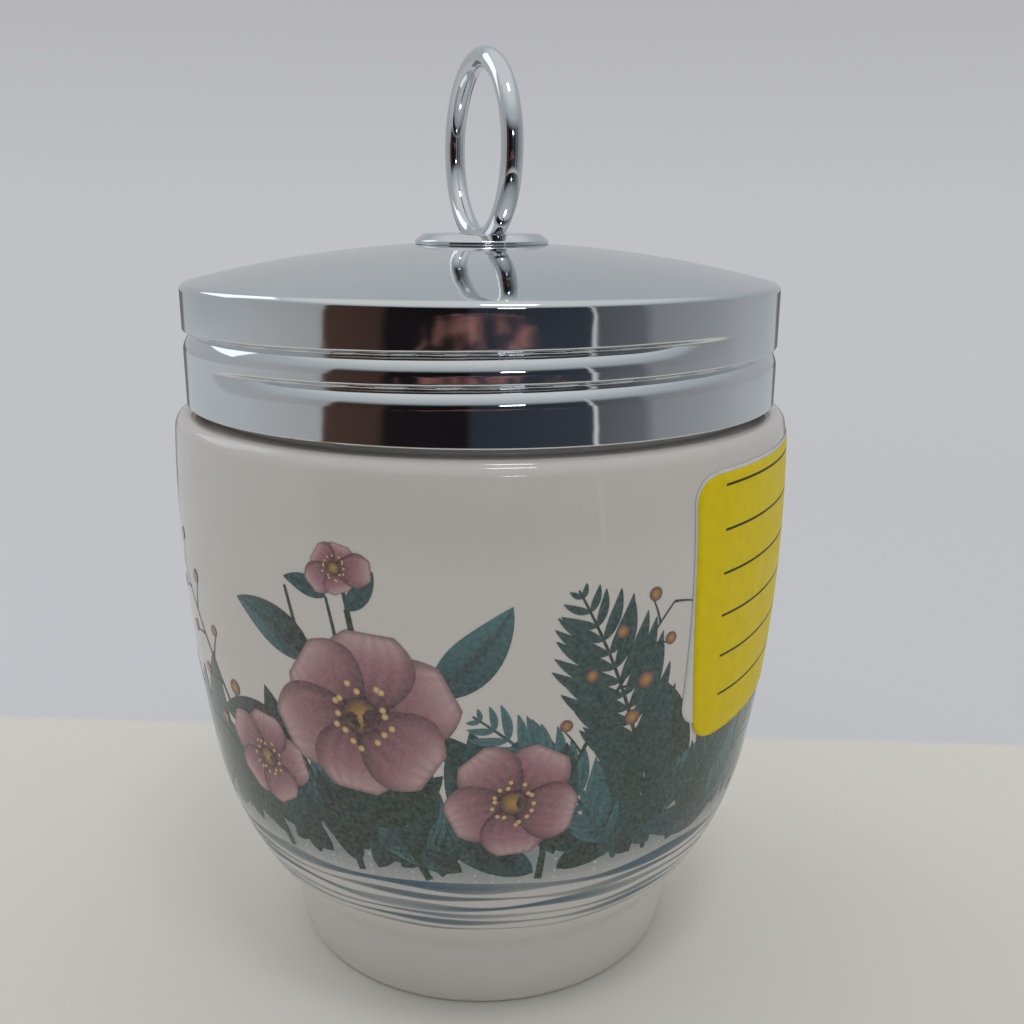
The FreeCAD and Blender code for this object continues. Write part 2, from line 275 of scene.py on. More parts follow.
# The cup: its outline is two arcs over a tapered foot, with a screw neck above the ledge
lidLow, lidHigh = (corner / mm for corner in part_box("lid_shell"))
cupLow, cupHigh = (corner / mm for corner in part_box("porcelain_cup"))
cup = {
    "bellyRadius": 35.64,
    "bellyHeight": 55.6,
    "sideArc": 178.0,
    "bowlArc": 37.7,
    "bowlHeight": 26.4,
    "waistHeight": 8.7,
    "waistRound": 0.8,
    "footTaper": 1.74,
    "footRound": 1.0,
    "footRim": 3.6,
    "footRecess": 3.2,
    "recessRound": 0.4,
    "floorHeight": 7.8,
    "floorRound": 5.0,
    "wall": 3.8,
    "ledgeHeight": 66.4,
    "ledgeRound": 1.8,
    "ledgeCorner": 0.3,
    "neckRadius": 31.9,
    "neckWall": 3.5,
    "neckDepth": 12.5,
    "neckFlare": 9.0,
    "mouthRound": 18.0,
    "lipHeight": cupHigh.z,
    "lipRound": 1.3,
    "sideRows": 64,
    "neckRows": 56,
    "insideRows": 24,
    "steps": 224,
}
neckThread = {
    "start": 148.0,
    "turns": 1.6,
    "pitch": 3.0,
    "height": 72.38,
    "mouth": 1.4,
    "form": mouldedForm,
    "fade": 25.0,
    "depth": 0.95,
}


# Radius of the cup's outside at a height, or of its inside where inset is its wall
def cupRadius(height, inset=0.0):
    sideX = cup["bellyRadius"] - cup["sideArc"]
    rise = cup["bellyHeight"] - cup["bowlHeight"]
    meetX = sideX + math.sqrt(cup["sideArc"] ** 2 - rise**2)
    bowlX = meetX + (sideX - meetX) * cup["bowlArc"] / cup["sideArc"]
    bowlZ = cup["bowlHeight"] + rise * cup["bowlArc"] / cup["sideArc"]
    if height > cup["bellyHeight"] - rise * (1 - inset / cup["sideArc"]):
        return sideX + math.sqrt((cup["sideArc"] - inset) ** 2 - (height - cup["bellyHeight"]) ** 2)
    return bowlX + math.sqrt((cup["bowlArc"] - inset) ** 2 - (height - bowlZ) ** 2)


def makeCup(material):
    waistX = cupRadius(cup["waistHeight"])
    footX = waistX - cup["footTaper"]
    recessX = footX - cup["footRim"]
    ledgeX = cupRadius(cup["ledgeHeight"])
    mouthX = cup["neckRadius"] - cup["neckWall"]
    mouthZ = cup["lipHeight"] - cup["neckDepth"]
    flareZ = mouthZ - cup["neckFlare"]
    wall = cup["wall"]
    corners = [(0, cup["footRecess"], 0), (recessX, cup["footRecess"], cup["recessRound"])]
    corners += [(recessX, 0, cup["footRound"]), (footX, 0, cup["footRound"])]
    corners += [(waistX, cup["waistHeight"], cup["waistRound"])]
    sideRows = ladder(cup["waistHeight"] + 0.6, cup["ledgeHeight"] - 3, cup["sideRows"])
    corners += [(cupRadius(z), z, 0) for z in sideRows]
    corners += [(ledgeX, cup["ledgeHeight"], cup["ledgeRound"])]
    corners += [(cup["neckRadius"], cup["ledgeHeight"], cup["ledgeCorner"])]
    neckRows = ladder(cup["ledgeHeight"] + 1, cup["lipHeight"] - 1.4, cup["neckRows"])
    corners += [(cup["neckRadius"], z, 0) for z in neckRows]
    corners += [(cup["neckRadius"], cup["lipHeight"], cup["lipRound"])]
    corners += [(mouthX, cup["lipHeight"], cup["lipRound"]), (mouthX, mouthZ, cup["mouthRound"])]
    corners += [(cupRadius(flareZ, wall), flareZ, cup["mouthRound"])]
    insideRows = ladder(flareZ - 3, cup["floorHeight"] + 3, cup["insideRows"])
    corners += [(cupRadius(z, wall), z, 0) for z in insideRows]
    corners += [(cupRadius(cup["floorHeight"], wall), cup["floorHeight"], cup["floorRound"])]
    corners += [(0, cup["floorHeight"], 0)]
    shape = bmesh.new()
    turnOutline(shape, roundOutline(corners), cup["steps"])
    above = [vert for vert in shape.verts if vert.co.z > cup["ledgeHeight"]]
    neck = [vert for vert in above if abs(math.hypot(*vert.co.xy) - cup["neckRadius"]) < 0.01]
    windThread(neck, neckThread, neckThread["depth"])
    return finishPiece("cupBody", shape, material, "cup", ["porcelain_cup"])


# White glaze over bone china: a faint warm cloud, slightly uneven gloss and a soft ripple
glazeLook = {
    "warm": tint(215, 211, 209),
    "white": tint(221, 217, 213),
    "cloudScale": 45,
    "glossScale": 120,
    "glossLow": 0.05,
    "glossHigh": 0.1,
    "rippleScale": 60,
    "rippleStrength": 0.12,
    "rippleDepth": 0.0006,
    "refraction": 1.52,
}


def addGloss(tree, shader, place):
    gloss = addMottle(tree, place, glazeLook["glossScale"], glazeLook["glossLow"], glazeLook["glossHigh"])
    tree.links.new(gloss, shader.inputs["Roughness"])
    ripple = addMottle(tree, place, glazeLook["rippleScale"], 0.0, 1.0)
    bump = addBump(tree, ripple, glazeLook["rippleStrength"], glazeLook["rippleDepth"])
    tree.links.new(bump, shader.inputs["Normal"])


def makeGlaze():
    material, tree, shader = newMaterial("whiteGlaze", IOR=glazeLook["refraction"])
    place = addPlace(tree, "Object")
    cloud = addMottle(tree, place, glazeLook["cloudScale"], 0.0, 1.0)
    tree.links.new(addMix(tree, cloud, glazeLook["warm"], glazeLook["white"]), shader.inputs["Base Color"])
    addGloss(tree, shader, place)
    return material


glaze = makeGlaze()
makeCup(glaze)
print("cup turned")

# The lid: one pressing, with the thread rolled in from outside
lid = {
    "radius": lidHigh.x,
    "edge": lidLow.z,
    "seat": lidHigh.z,
    "skirt": 13.0,
    "sheet": 0.7,
    "corner": 0.95,
    "edgeRound": 0.22,
    "domeArc": 135.0,
    "seatRadius": 8.1,
    "seatRound": 0.5,
    "hole": 1.68,
    "domeRows": 24,
    "skirtRows": 150,
    "boreRows": 56,
    "innerRows": 14,
    "steps": 256,
}
lidThread = {
    "start": 214.0,
    "turns": 1.29,
    "pitch": 3.0,
    "height": lid["edge"] + 4.3,
    "mouth": 2.25,
    "form": rolledForm,
    "fade": 24.0,
    "depth": 0.93,
}


def makeLid(material):
    rim = lid["edge"] + lid["skirt"]
    bore = lid["radius"] - lid["sheet"]
    domeZ = rim - math.sqrt(lid["domeArc"] ** 2 - lid["radius"] ** 2)
    inner = lid["domeArc"] - lid["sheet"]

    def dome(across, arc):
        return domeZ + math.sqrt(arc**2 - across**2)

    corners = [(lid["hole"], lid["seat"], 0), (lid["seatRadius"], lid["seat"], lid["seatRound"])]
    domeRows = ladder(lid["seatRadius"] + 0.6, lid["radius"] - 0.6, lid["domeRows"])
    corners += [(x, dome(x, lid["domeArc"]), 0) for x in domeRows]
    corners += [(lid["radius"], rim, lid["corner"])]
    corners += [(lid["radius"], z, 0) for z in ladder(rim - 1.1, lid["edge"] + 0.3, lid["skirtRows"])]
    corners += [(lid["radius"], lid["edge"], lid["edgeRound"]), (bore, lid["edge"], lid["edgeRound"])]
    corners += [(bore, z, 0) for z in ladder(lid["edge"] + 0.3, rim - 1.3, lid["boreRows"])]
    corners += [(bore, dome(bore, inner), 0.5)]
    corners += [(x, dome(x, inner), 0) for x in ladder(bore - 0.6, lid["seatRadius"], lid["innerRows"])]
    corners += [(lid["seatRadius"] - 0.3, lid["seat"] - lid["sheet"], 0.3)]
    corners += [(lid["hole"], lid["seat"] - lid["sheet"], 0)]
    shape = bmesh.new()
    turnOutline(shape, roundOutline(corners), lid["steps"], closed=True)
    below = [vert for vert in shape.verts if vert.co.z < rim - 1]
    skirt = [vert for vert in below if math.hypot(*vert.co.xy) > bore - 0.01]
    windThread(skirt, lidThread, -lidThread["depth"])
    return finishPiece("lidShell", shape, material, "lid", ["lid_shell"])


# Bright plate: smudges in its gloss, small dents, and brass showing where its lower edge is worn
plate = {
    "bright": tint(224, 226, 227),
    "grey": tint(214, 217, 220),
    "cloudScale": 40,
    "smudgeScale": 70,
    "smudgeLow": 0.035,
    "smudgeHigh": 0.085,
    "dentScale": 55,
    "dentStrength": 0.1,
    "dentDepth": 0.0004,
    "brass": tint(164, 132, 84),
    "wornLow": 0.05,
    "wornHigh": 0.22,
    "wornMost": 0.75,
    "wanderScale": 260,
    "wanderDown": 0.12,
    "wanderUp": 0.2,
    "wearStart": -0.004,
    "wearFull": -0.014,
    "wearLeast": 0.1,
}


def addWear(tree, place, colour):
    parts = addParts(tree, place)
    wander = addMottle(tree, place, plate["wanderScale"], -plate["wanderDown"] * mm, plate["wanderUp"] * mm)
    level = addMath(tree, "ADD", parts["Z"], wander)
    worn = ((lid["edge"] + plate[end]) * mm for end in ("wornLow", "wornHigh"))
    low = addMap(tree, level, *worn, plate["wornMost"], 0.0)
    leftward = addMap(tree, parts["X"], plate["wearStart"], plate["wearFull"], plate["wearLeast"], 1.0)
    return addMix(tree, addMath(tree, "MULTIPLY", low, leftward), colour, plate["brass"])


def makePlate(name, wornEdge):
    material, tree, shader = newMaterial(name, Metallic=1.0)
    place = addPlace(tree, "Object")
    smudge = addMottle(tree, place, plate["smudgeScale"], plate["smudgeLow"], plate["smudgeHigh"])
    tree.links.new(smudge, shader.inputs["Roughness"])
    cloud = addMottle(tree, place, plate["cloudScale"], 0.0, 1.0)
    colour = addMix(tree, cloud, plate["bright"], plate["grey"])
    if wornEdge:
        colour = addWear(tree, place, colour)
    tree.links.new(colour, shader.inputs["Base Color"])
    dents = addMottle(tree, place, plate["dentScale"], 0.0, 1.0)
    tree.links.new(addBump(tree, dents, plate["dentStrength"], plate["dentDepth"]), shader.inputs["Normal"])
    return material


lidPlate = makePlate("lidPlate", True)
makeLid(lidPlate)
print("lid pressed and rolled")

# The ring and its collar
ringLow, ringHigh = (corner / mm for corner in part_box("lifting_ring"))
collarLow, collarHigh = (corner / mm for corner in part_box("ring_collar"))
ring = {
    "wire": 2.4,
    "radius": 9.65,
    "turn": 19.5,
    "wireSteps": 40,
    "steps": 128,
    "shank": 1.6,
    "headRadius": 3.2,
    "headHeight": 1.1,
    "headCrown": 0.7,
    "headRise": 0.25,
    "headRound": 0.8,
    "headEdge": 0.2,
    "headSteps": 64,
    "sunk": 0.25,
}
ring["middle"] = ringHigh.z - ring["radius"] - ring["wire"] / 2
collar = {
    "radius": collarHigh.x,
    "low": collarLow.z,
    "high": collarHigh.z,
    "edge": 0.42,
    "crown": 1.0,
    "lowRound": 0.15,
    "edgeRound": 0.4,
    "crownRound": 0.9,
    "steps": 128,
}


def makeRing(material):
    shape = bmesh.new()
    wire = bmesh.ops.create_circle(
        shape,
        cap_ends=False,
        segments=ring["wireSteps"],
        radius=ring["wire"] / 2,
        matrix=Matrix.Translation((0, ring["radius"], 0)),
    )
    bmesh.ops.spin(
        shape,
        geom=wire["verts"] + list(shape.edges),
        cent=(0, 0, 0),
        axis=(1, 0, 0),
        dvec=(0, 0, 0),
        angle=2 * math.pi,
        steps=ring["steps"],
        use_merge=True,
    )
    bmesh.ops.translate(shape, vec=(0, 0, ring["middle"]), verts=shape.verts)
    cut = bmesh.ops.bisect_plane(
        shape,
        geom=list(shape.verts) + list(shape.edges) + list(shape.faces),
        plane_co=(0, 0, collar["high"] - ring["sunk"]),
        plane_no=(0, 0, -1),
        clear_outer=True,
    )
    rim = [item for item in cut["geom_cut"] if isinstance(item, bmesh.types.BMEdge)]
    bmesh.ops.holes_fill(shape, edges=rim, sides=0)
    turn = Matrix.Rotation(math.radians(ring["turn"]), 3, "Z")
    bmesh.ops.rotate(shape, cent=(0, 0, 0), matrix=turn, verts=shape.verts)
    bmesh.ops.recalc_face_normals(shape, faces=shape.faces)
    return finishPiece("liftingRing", shape, material, "lid", ["lifting_ring"])


def makeRivet(material):
    head = ringLow.z
    seat = head + ring["headHeight"]
    top = collar["high"] - 0.1
    crown = ring["headRadius"] * ring["headCrown"]
    corners = [(0, head, 0), (crown, head + ring["headRise"], ring["headRound"])]
    corners += [(ring["headRadius"], seat, ring["headEdge"]), (ring["shank"], seat, 0)]
    corners += [(ring["shank"], top, 0), (0, top, 0)]
    shape = bmesh.new()
    turnOutline(shape, roundOutline(corners), ring["headSteps"])
    return finishPiece("rivetHead", shape, material, "lid", ["lifting_ring"])


def makeCollar(material):
    corners = [(ring["shank"], collar["low"], 0), (collar["radius"], collar["low"], collar["lowRound"])]
    corners += [(collar["radius"], collar["low"] + collar["edge"], collar["edgeRound"])]
    corners += [(collar["radius"] - collar["crown"], collar["high"], collar["crownRound"])]
    corners += [(ring["shank"], collar["high"], 0)]
    shape = bmesh.new()
    turnOutline(shape, roundOutline(corners), collar["steps"], closed=True)
    return finishPiece("ringCollar", shape, material, "lid", ["ring_collar"])


ringPlate = makePlate("ringPlate", False)
makeRing(ringPlate)
makeRivet(ringPlate)
makeCollar(ringPlate)
print("ring, rivet and collar made")


# The washer keeps its own solid and gets a dull brass finish
brass = {
    "light": tint(186, 158, 104),
    "dark": tint(140, 116, 76),
    "tarnishScale": 90,
    "smudgeScale": 160,
    "smudgeLow": 0.25,
    "smudgeHigh": 0.5,
}


def makeBrass():
    material, tree, shader = newMaterial("dullBrass", Metallic=1.0)
    place = addPlace(tree, "Object")
    smudge = addMottle(tree, place, brass["smudgeScale"], brass["smudgeLow"], brass["smudgeHigh"])
    tree.links.new(smudge, shader.inputs["Roughness"])
    tarnish = addMottle(tree, place, brass["tarnishScale"], 0.0, 1.0)
    tree.links.new(addMix(tree, tarnish, brass["light"], brass["dark"]), shader.inputs["Base Color"])
    return material


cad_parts["backing_washer"].data.materials.clear()
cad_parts["backing_washer"].data.materials.append(makeBrass())

# The printed decoration lies on the glaze as thin patches of colour: flowers, ferns, berries and leaves
decor = {
    "reference": 35.0,
    "lift": 0.012,
    "layerLift": 0.004,
    "dotCorners": 14,
    "washCells": (16, 10),
    "lineCells": (360, 2),
    "grain": 0.13,
    "grainScale": 2200,
    "grainTint": tint(206, 206, 202),
}
inks = {
    "dark": tint(30, 40, 40),
    "deep": tint(32, 58, 48),
    "teal": tint(38, 80, 84),
    "sea": tint(72, 118, 124),
    "plum": tint(58, 34, 40),
    "mulberry": tint(104, 62, 72),
    "pink": tint(164, 114, 126),
    "blush": tint(208, 176, 176),
    "ochre": tint(196, 150, 76),
    "cream": tint(226, 208, 176),
    "steel": tint(54, 102, 128),
    "mist": tint(138, 162, 172),
}
chance = random.Random(11)


def onCup(across, height, layer):
    radius = cupRadius(height) + decor["lift"] + decor["layerLift"] * layer
    angle = across / decor["reference"]
    return Vector((radius * math.sin(angle), -radius * math.cos(angle), height))


# A point and a direction along a stroke that starts at a place, heads one way and bends
def stroke(start, heading, length, bend, share):
    bend = bend if abs(bend) > 0.01 else 0.01
    now = heading + bend * share
    across = start[0] + length / bend * (math.sin(now) - math.sin(heading))
    up = start[1] - length / bend * (math.cos(now) - math.cos(heading))
    return across, up, now


# A grid of cells on the glaze: spot gives a corner's place and colour from two shares, each -1 to 1
def paintGrid(ink, cells, spot, layer):
    paint = ink.verts.layers.float_color["paint"]
    made = bmesh.ops.create_grid(ink, x_segments=cells[0], y_segments=cells[1], size=1)
    reach = max(vert.co.x for vert in made["verts"])
    for vert in made["verts"]:
        across, up, colour = spot(vert.co.x / reach, vert.co.y / reach)
        vert[paint] = colour
        vert.co = onCup(across, up, layer)


# A patch along a path: form gives half its width at a share of its length, shade gives its colour
def paintPatch(ink, cells, path, form, shade, layer):
    def spot(along, side):
        share = (along + 1) / 2
        across, up, heading = path(share)
        away = form(share) * side
        return across - math.sin(heading) * away, up + math.cos(heading) * away, shade(share, side)

    paintGrid(ink, cells, spot, layer)


leaf = {
    "cells": (14, 6),
    "fullness": 0.8,
    "bluntness": 0.85,
    "leastWidth": 0.03,
    "rib": 6,
    "ribStrength": 0.55,
    "streaks": 30,
    "streakSlant": 5,
    "streakStrength": 0.18,
}


def paintLeaf(ink, start, heading, length, width, bend, colours, layer):
    low, high, vein = colours
    wave = chance.uniform(0, 6)

    def path(share):
        return stroke(start, heading, length, bend, share)

    def form(share):
        full = math.sin(math.pi * share ** leaf["fullness"]) ** leaf["bluntness"]
        return width / 2 * full + leaf["leastWidth"]

    def shade(share, side):
        rib = 1 - ease(abs(side) * leaf["rib"])
        streak = 0.5 + 0.5 * math.sin(share * leaf["streaks"] + abs(side) * leaf["streakSlant"] + wave)
        colour = blend(low, high, ease(share * 0.8 + 0.25 * side + 0.15 * streak))
        return blend(colour, vein, leaf["ribStrength"] * rib + leaf["streakStrength"] * streak)

    paintPatch(ink, leaf["cells"], path, form, shade, layer)


stem = {"cells": (18, 2), "root": 1.1, "taper": 0.7}


def paintStem(ink, start, heading, length, width, bend, colour, layer):
    def path(share):
        return stroke(start, heading, length, bend, share)

    def form(share):
        return width / 2 * (stem["root"] - stem["taper"] * share)

    paintPatch(ink, stem["cells"], path, form, lambda share, side: colour, layer)
    return path


# A stem from one place to another that bows out a little
def paintTwig(ink, start, end, width, bend, layer):
    across, up = end[0] - start[0], end[1] - start[1]
    heading = math.atan2(up, across) - bend / 2
    length = math.hypot(across, up) * bend / 2 / math.sin(bend / 2)
    paintStem(ink, start, heading, length, width, bend, inks["deep"], layer)


def paintDot(ink, middle, radius, inner, outer, layer):
    paint = ink.verts.layers.float_color["paint"]
    corners = decor["dotCorners"]
    made = bmesh.ops.create_circle(ink, cap_ends=True, cap_tris=True, segments=corners, radius=1)
    for vert in made["verts"]:
        away = min(1, vert.co.length)
        vert[paint] = blend(inner, outer, away)
        vert.co = onCup(middle[0] + vert.co.x * radius, middle[1] + vert.co.y * radius, layer)


# Leaflets in pairs along a stem, longest below its middle
fern = {
    "stem": 0.55,
    "spacing": 1.7,
    "leaflet": 0.26,
    "first": 0.12,
    "span": 0.86,
    "bluntness": 0.8,
    "slimness": 0.17,
    "leastWidth": 0.25,
    "bend": 0.5,
}


def paintFern(ink, start, heading, length, bend, colours, layer):
    low, high = colours
    path = paintStem(ink, start, heading, length, fern["stem"], bend, low, layer)
    pairs = int(length / fern["spacing"])
    for step in range(2, pairs + 1):
        share = step / (pairs + 0.5)
        across, up, now = path(share)
        full = math.sin(math.pi * (fern["first"] + fern["span"] * share)) ** fern["bluntness"]
        size = length * fern["leaflet"] * full * chance.uniform(0.85, 1.1)
        width = size * fern["slimness"] + fern["leastWidth"]
        colour = blend(low, high, share * 0.8 + chance.uniform(0, 0.2))
        for side in (-1, 1):
            lean = now + side * math.radians(chance.uniform(48, 60))
            curl = -side * fern["bend"]
            paintLeaf(ink, (across, up), lean, size, width, curl, (colour, high, low), layer + 1)


flower = {
    "cells": (16, 12),
    "petalWidth": 0.47,
    "petalBend": 0.15,
    "streaks": 17,
    "edgeInk": 0.6,
    "eye": 0.2,
    "stamens": 16,
    "stamen": 0.035,
    "stamenNear": 0.24,
    "stamenFar": 0.36,
}


def paintFlower(ink, middle, radius, petals, turn, layer, squash):
    for index in range(petals):
        heading = turn + 2 * math.pi * index / petals
        reach = radius * chance.uniform(0.9, 1.05) * (squash if abs(math.sin(heading)) > 0.6 else 1)
        wave = chance.uniform(0, 6)

        def path(share, heading=heading, reach=reach):
            return stroke(middle, heading, reach, flower["petalBend"], share)

        def form(share):
            return radius * flower["petalWidth"] * math.sin(math.pi * (0.06 + 0.8 * share**1.2)) ** 0.8

        def shade(share, side, wave=wave):
            streak = 0.5 + 0.5 * math.sin(side * flower["streaks"] + wave)
            colour = blend(inks["mulberry"], inks["pink"], ease(share * 1.5 - 0.25 + 0.25 * streak))
            colour = blend(colour, inks["blush"], ease((share - 0.62) * 2.4) * (0.55 + 0.45 * streak))
            edge = ease((abs(side) - 0.72) * 4) + ease((share - 0.93) * 14)
            colour = blend(colour, inks["plum"], flower["edgeInk"] * min(1, edge))
            return blend(colour, inks["plum"], ease(1 - share * 3.4))

        paintPatch(ink, flower["cells"], path, form, shade, layer + index)
    paintDot(ink, middle, radius * flower["eye"], inks["ochre"], inks["plum"], layer + petals)
    for index in range(flower["stamens"]):
        angle = 2 * math.pi * index / flower["stamens"] + chance.uniform(-0.15, 0.15)
        away = radius * chance.uniform(flower["stamenNear"], flower["stamenFar"])
        tip = (middle[0] + away * math.cos(angle), middle[1] + away * math.sin(angle))
        paintDot(ink, tip, radius * flower["stamen"], inks["cream"], inks["ochre"], layer + petals + 1)


# Berries on short twigs to either side of a stem
sprig = {
    "stem": 0.45,
    "twig": 0.16,
    "twigStem": 0.25,
    "lean": 0.9,
    "bend": 0.3,
    "smallBerry": 0.65,
    "largeBerry": 0.95,
}


def paintSprig(ink, start, heading, length, bend, layer):
    path = paintStem(ink, start, heading, length, sprig["stem"], bend, inks["deep"], layer)
    for step in range(3, 11):
        across, up, now = path(step / 10)
        side = 1 if step % 2 else -1
        lean = now + side * sprig["lean"]
        twig = length * sprig["twig"] * chance.uniform(0.7, 1.1)
        bow = side * sprig["bend"]
        paintStem(ink, (across, up), lean, twig, sprig["twigStem"], bow, inks["deep"], layer)
        tip = (across + math.cos(lean) * twig, up + math.sin(lean) * twig)
        berry = chance.uniform(sprig["smallBerry"], sprig["largeBerry"])
        paintDot(ink, tip, berry, inks["ochre"], inks["mulberry"], layer + 2)


def paintWash(ink, middle, wide, high, colour, strength, layer):
    def spot(across, up):
        fade = ease(1 - math.hypot(across, up)) * strength
        return middle[0] + across * wide, middle[1] + up * high, (*colour[:3], fade)

    paintGrid(ink, decor["washCells"], spot, layer)


# A brushed line right round the cup that sways and swells a little
def paintLine(ink, height, width, strength, layer):
    start = chance.uniform(0, 6)

    def spot(share, side):
        turn = share * math.pi
        sway = 0.18 * math.sin(5 * turn + start) + 0.1 * math.sin(13 * turn + 2 * start)
        thick = width / 2 * (0.75 + 0.35 * math.sin(9 * turn + 3 * start))
        tone = strength * (0.72 + 0.28 * math.sin(7 * turn - start)) * (1 - 0.35 * abs(side))
        return turn * decor["reference"], height + sway + side * thick, (*inks["steel"][:3], tone)

    paintGrid(ink, decor["lineCells"], spot, layer)


def leafColours():
    low = chance.choice(("dark", "dark", "deep", "teal"))
    high = chance.choice(("deep", "teal", "sea", "teal"))
    return inks[low], inks[high], inks["dark"]


# Lines round the cup: height, width and strength. Rows of leaves above them: height and length of a leaf
border = {
    "lines": (
        (20.9, 1.5, 0.9),
        (19.3, 0.9, 0.7),
        (17.8, 1.3, 0.9),
        (16.3, 0.8, 0.6),
        (15.1, 1.0, 0.8),
        (13.9, 0.5, 0.5),
    ),
    "leafRows": ((25.5, 14.0), (23.0, 10.0)),
}


def paintGround(ink):
    for across in range(-108, 109, 12):
        paintWash(ink, (across, 25), 13, 6.5, inks["mist"], 0.5, 0)
    for height, width, strength in border["lines"]:
        paintLine(ink, height, width, strength, 1)
    for row, (base, size) in enumerate(border["leafRows"]):
        across = -108.0
        while across < 110:
            heading = math.radians(chance.uniform(30, 150))
            length = size * chance.uniform(0.8, 1.25)
            bend = chance.uniform(-0.8, 0.8)
            start = (across, base + chance.uniform(-0.6, 1.2))
            paintLeaf(ink, start, heading, length, length * 0.36, bend, leafColours(), 3 + row)
            across += chance.uniform(2.0, 3.4)


# The spray's parts, as distances along the cup from its middle and heights, with directions in degrees
spray = {
    "ferns": ((19, 98, 33, 0.35), (23, 70, 27, -0.5), (15, 116, 25, 0.5), (27, 52, 22, -0.4)),
    "stalks": ((-6, 112, 20), (-14, 96, 32), (-24, 104, 14), (6, 84, 12)),
    "leaves": (
        (-20, 36, 165, 13),
        (-17, 46, 140, 11),
        (-5, 44, 35, 12),
        (-13, 29, 20, 11),
        (5, 27, 60, 12),
        (-28, 26, 130, 13),
        (-20, 30, 200, 10),
        (-15, 53, 150, 5),
        (-13, 52, 40, 5),
    ),
    "twigs": (((-26, 26), 108, 29, 0.5), ((7, 30), 72, 25, -0.4)),
    "flowers": (
        ((-12, 41), 10.2, 6, 0.3, 9, 0.92),
        ((3, 32), 7.4, 5, 0.9, 14, 0.92),
        ((-25, 33), 6.2, 5, 0.1, 14, 0.92),
        ((-14, 56), 3.6, 5, 1.2, 9, 0.7),
    ),
}


def paintSpray(ink, across, mirror):
    def place(offset, up):
        return across + mirror * offset, up

    def head(degrees):
        return math.radians(degrees if mirror > 0 else 180 - degrees)

    for offset, degrees, length, bend in spray["ferns"]:
        colours = (inks["deep"], inks["teal"]) if length > 26 else (inks["teal"], inks["sea"])
        paintFern(ink, place(offset, 23), head(degrees), length, mirror * bend, colours, 5)
    for offset, degrees, length in spray["stalks"]:
        paintStem(ink, place(offset, 22), head(degrees), length, 0.8, mirror * 0.15, inks["deep"], 6)
    for offset, up, degrees, length in spray["leaves"]:
        spot = place(offset, up)
        paintTwig(ink, place(offset * 0.6 - 4, 25), spot, 0.7, mirror * 0.3, 6)
        paintLeaf(ink, spot, head(degrees), length, length * 0.4, mirror * 0.5, leafColours(), 7)
    paintTwig(ink, place(-12, 41), place(-14, 57), 0.7, mirror * 0.35, 7)
    for spot, degrees, length, bend in spray["twigs"]:
        paintSprig(ink, place(*spot), head(degrees), length, mirror * bend, 7)
    for spot, radius, petals, turn, layer, squash in spray["flowers"]:
        paintFlower(ink, place(*spot), radius, petals, turn, layer, squash)


# Colour on the glaze takes the cup's own curve, so that its gloss runs on over the print
def makePrint(name, material, painter):
    ink = bmesh.new()
    ink.verts.layers.float_color.new("paint")
    painter(ink)
    piece = finishPiece(name, ink, material, "cup", sharpAngle=180)
    normals = []
    for vert in piece.data.vertices:
        height = vert.co.z / mm
        slope = (cupRadius(height + 0.05) - cupRadius(height - 0.05)) / 0.1
        outward = Vector((vert.co.x, vert.co.y, 0)).normalized()
        normals.append((outward - Vector((0, 0, slope))).normalized())
    piece.data.normals_split_custom_set_from_vertices(normals)
    return piece


def makeInk():
    material, tree, shader = newMaterial("printedInk", IOR=glazeLook["refraction"])
    place = addPlace(tree, "Object")
    paint = addNode(tree, "ShaderNodeAttribute", attribute_name="paint").outputs
    pale = addMix(tree, decor["grain"], paint["Color"], decor["grainTint"])
    grain = addMottle(tree, place, decor["grainScale"], 0.0, 1.0)
    tree.links.new(addMix(tree, grain, paint["Color"], pale), shader.inputs["Base Color"])
    tree.links.new(paint["Alpha"], shader.inputs["Alpha"])
    addGloss(tree, shader, place)
    return material


printInk = makeInk()
makePrint("printBorder", printInk, paintGround)
makePrint("printFront", printInk, lambda ink: paintSpray(ink, 0, 1))
makePrint("printBack", printInk, lambda ink: paintSpray(ink, 108, -1))
print("decoration printed")

# The paper label on the right: a white backing and a yellow face stuck on it askew, with plain ruled lines
label = {"turn": -20.4, "tilt": 1.3, "middle": 49.55, "cells": (56, 80)}
backing = {
    "left": -20.0,
    "right": 20.0,
    "low": -12.34,
    "high": 14.7,
    "corner": 2.9,
    "lift": 0.05,
    "paper": 0.05,
    "bend": 0.0,
    "bendFrom": 0.0,
    "rise": 0.0,
    "riseFrom": 0.0,
}
face = {
    "left": -19.8,
    "right": 19.9,
    "low": -14.66,
    "high": 14.3,
    "corner": 2.5,
    "lift": 0.115,
    "paper": 0.06,
    "bend": 0.0058,
    "bendFrom": 4.4,
    "rise": 0.047,
    "riseFrom": -12.0,
    "lineStep": 4.6,
    "lineWidth": 0.28,
    "lineStart": 3.6,
    "lineEnd": 35.0,
}


